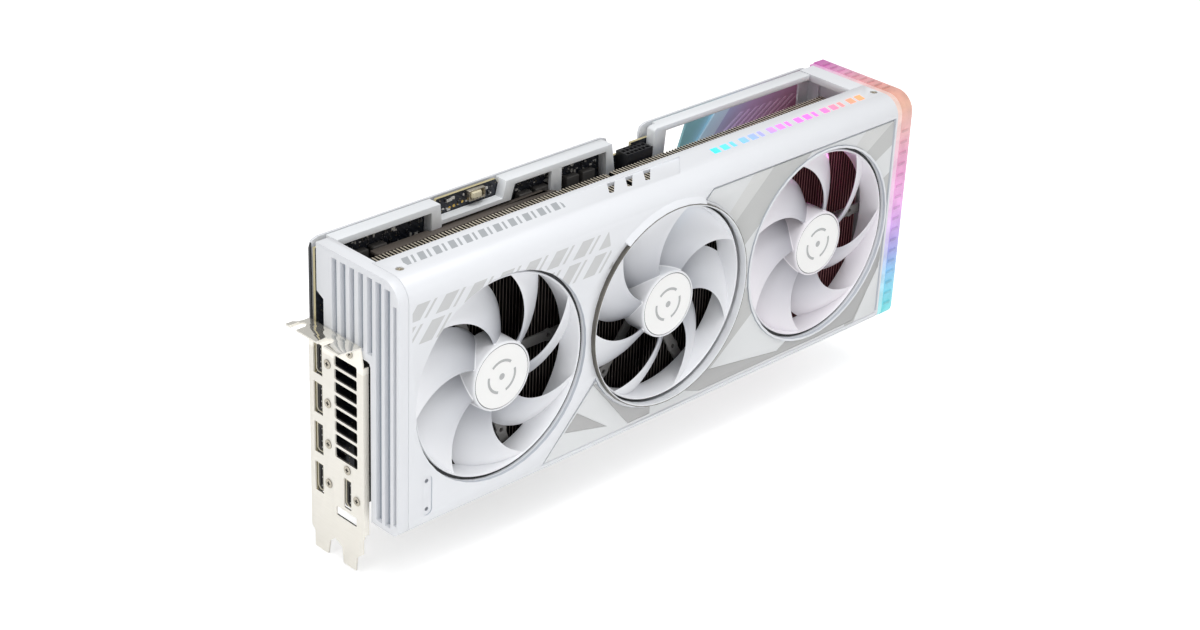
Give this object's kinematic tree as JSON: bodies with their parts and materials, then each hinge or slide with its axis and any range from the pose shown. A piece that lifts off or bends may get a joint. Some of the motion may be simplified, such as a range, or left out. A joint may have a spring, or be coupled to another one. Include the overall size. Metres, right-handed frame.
{
  "type": "graphics card",
  "caption": "Graphics card with three axial fans in a white shell, finned heat sink, lit end bar, slotted end grille, board with edge connector and a screw-down slot bracket.",
  "frame": {"origin": "middle of the lower face of the long tab of the edge connector, half way through the board's thickness", "axes": "+X along the card from the slot bracket to the lit end bar, +Y from the fans to the backplate, +Z from the edge connector up to the opposite long edge"},
  "size_m": [0.3705, 0.0697, 0.1651],
  "materials": {
    "white_shell": "satin white moulded shell",
    "insert": "fine-grain off-white with two grey tones",
    "satin_trim": "satin silver paint",
    "white_metal": "smooth white powder coat",
    "steel": "warm nickel-plated sheet",
    "light_outer": "translucent ribbed diffuser, lit",
    "light_inner": "frosted diffuser edge, lit",
    "board": "solder-mask laminate",
    "silicon": "polished silicon",
    "black_plastic": "moulded, fine texture",
    "slider": "cream moulded",
    "fins": "dark anodised thin sheet",
    "nickel": "nickel-plated copper",
    "cast_grey": "bead-blasted anodised",
    "fan_white": "smooth moulded",
    "brass": "sintered sleeve"
  },
  "bodies": {
    "card": {"back_brace": "steel", "backplate": "white_metal", "bracket_screw_1": "steel", "bracket_screw_2": "steel", "bracket_screw_3": "steel", "bracket_screw_4": "steel", "bracket_screw_5": "steel", "bracket_screw_6": "steel", "bracket_screw_7": "steel", "center_bezel": "satin_trim", "display_socket_1": "black_plastic", "display_socket_2": "black_plastic", "display_socket_3": "black_plastic", "end_cap": "white_shell", "end_grille": "white_shell", "fan_center_bearing": "brass", "fan_center_mount": "black_plastic", "fan_left_bearing": "brass", "fan_left_mount": "black_plastic", "fan_right_bearing": "brass", "fan_right_mount": "black_plastic", "fin_stack_far": "fins", "fin_stack_near": "fins", "frame_rail_far": "white_metal", "frame_rail_near": "white_metal", "front_shroud": "white_shell", "gpu_die": "silicon", "gpu_package": "board", "heat_pipe_1": "nickel", "heat_pipe_2": "nickel", "heat_pipe_3": "nickel", "heat_pipe_4": "nickel", "insert_panel": "insert", "io_bracket": "steel", "light_bar_inner": "light_inner", "light_bar_outer": "light_outer", "media_socket_front": "black_plastic", "media_socket_rear": "black_plastic", "pcb": "board", "power_socket": "black_plastic", "sink_frame": "cast_grey", "switch_body": "black_plastic", "top_light_strip": "light_outer", "top_screw_far": "steel", "top_screw_near": "steel", "trim_sweep": "satin_trim", "trim_triangle": "satin_trim", "trim_wedge": "satin_trim", "vapor_chamber": "nickel"},
    "fan_left": {"fan_left_rotor": "fan_white", "fan_left_cap": "fan_white", "fan_left_shaft": "steel"},
    "fan_center": {"fan_center_rotor": "fan_white", "fan_center_cap": "fan_white", "fan_center_shaft": "steel"},
    "fan_right": {"fan_right_rotor": "fan_white", "fan_right_cap": "fan_white", "fan_right_shaft": "steel"},
    "bios_switch": {"switch_slider": "slider"}
  },
  "joints": [
    {"name": "fan_left_spin", "type": "hinge", "parent": "card", "child": "fan_left", "pos_m": [-0.03083, -0.0507, 0.081], "axis": [0, 1, 0], "continuous": true},
    {"name": "fan_center_spin", "type": "hinge", "parent": "card", "child": "fan_center", "pos_m": [0.08073, -0.0507, 0.0825], "axis": [0, 1, 0], "continuous": true},
    {"name": "fan_right_spin", "type": "hinge", "parent": "card", "child": "fan_right", "pos_m": [0.19432, -0.0507, 0.081], "axis": [0, 1, 0], "continuous": true},
    {"name": "bios_switch_slide", "type": "slide", "parent": "card", "child": "bios_switch", "axis": [1, 0, 0], "range_m": [0, 0.002]}
  ]
}
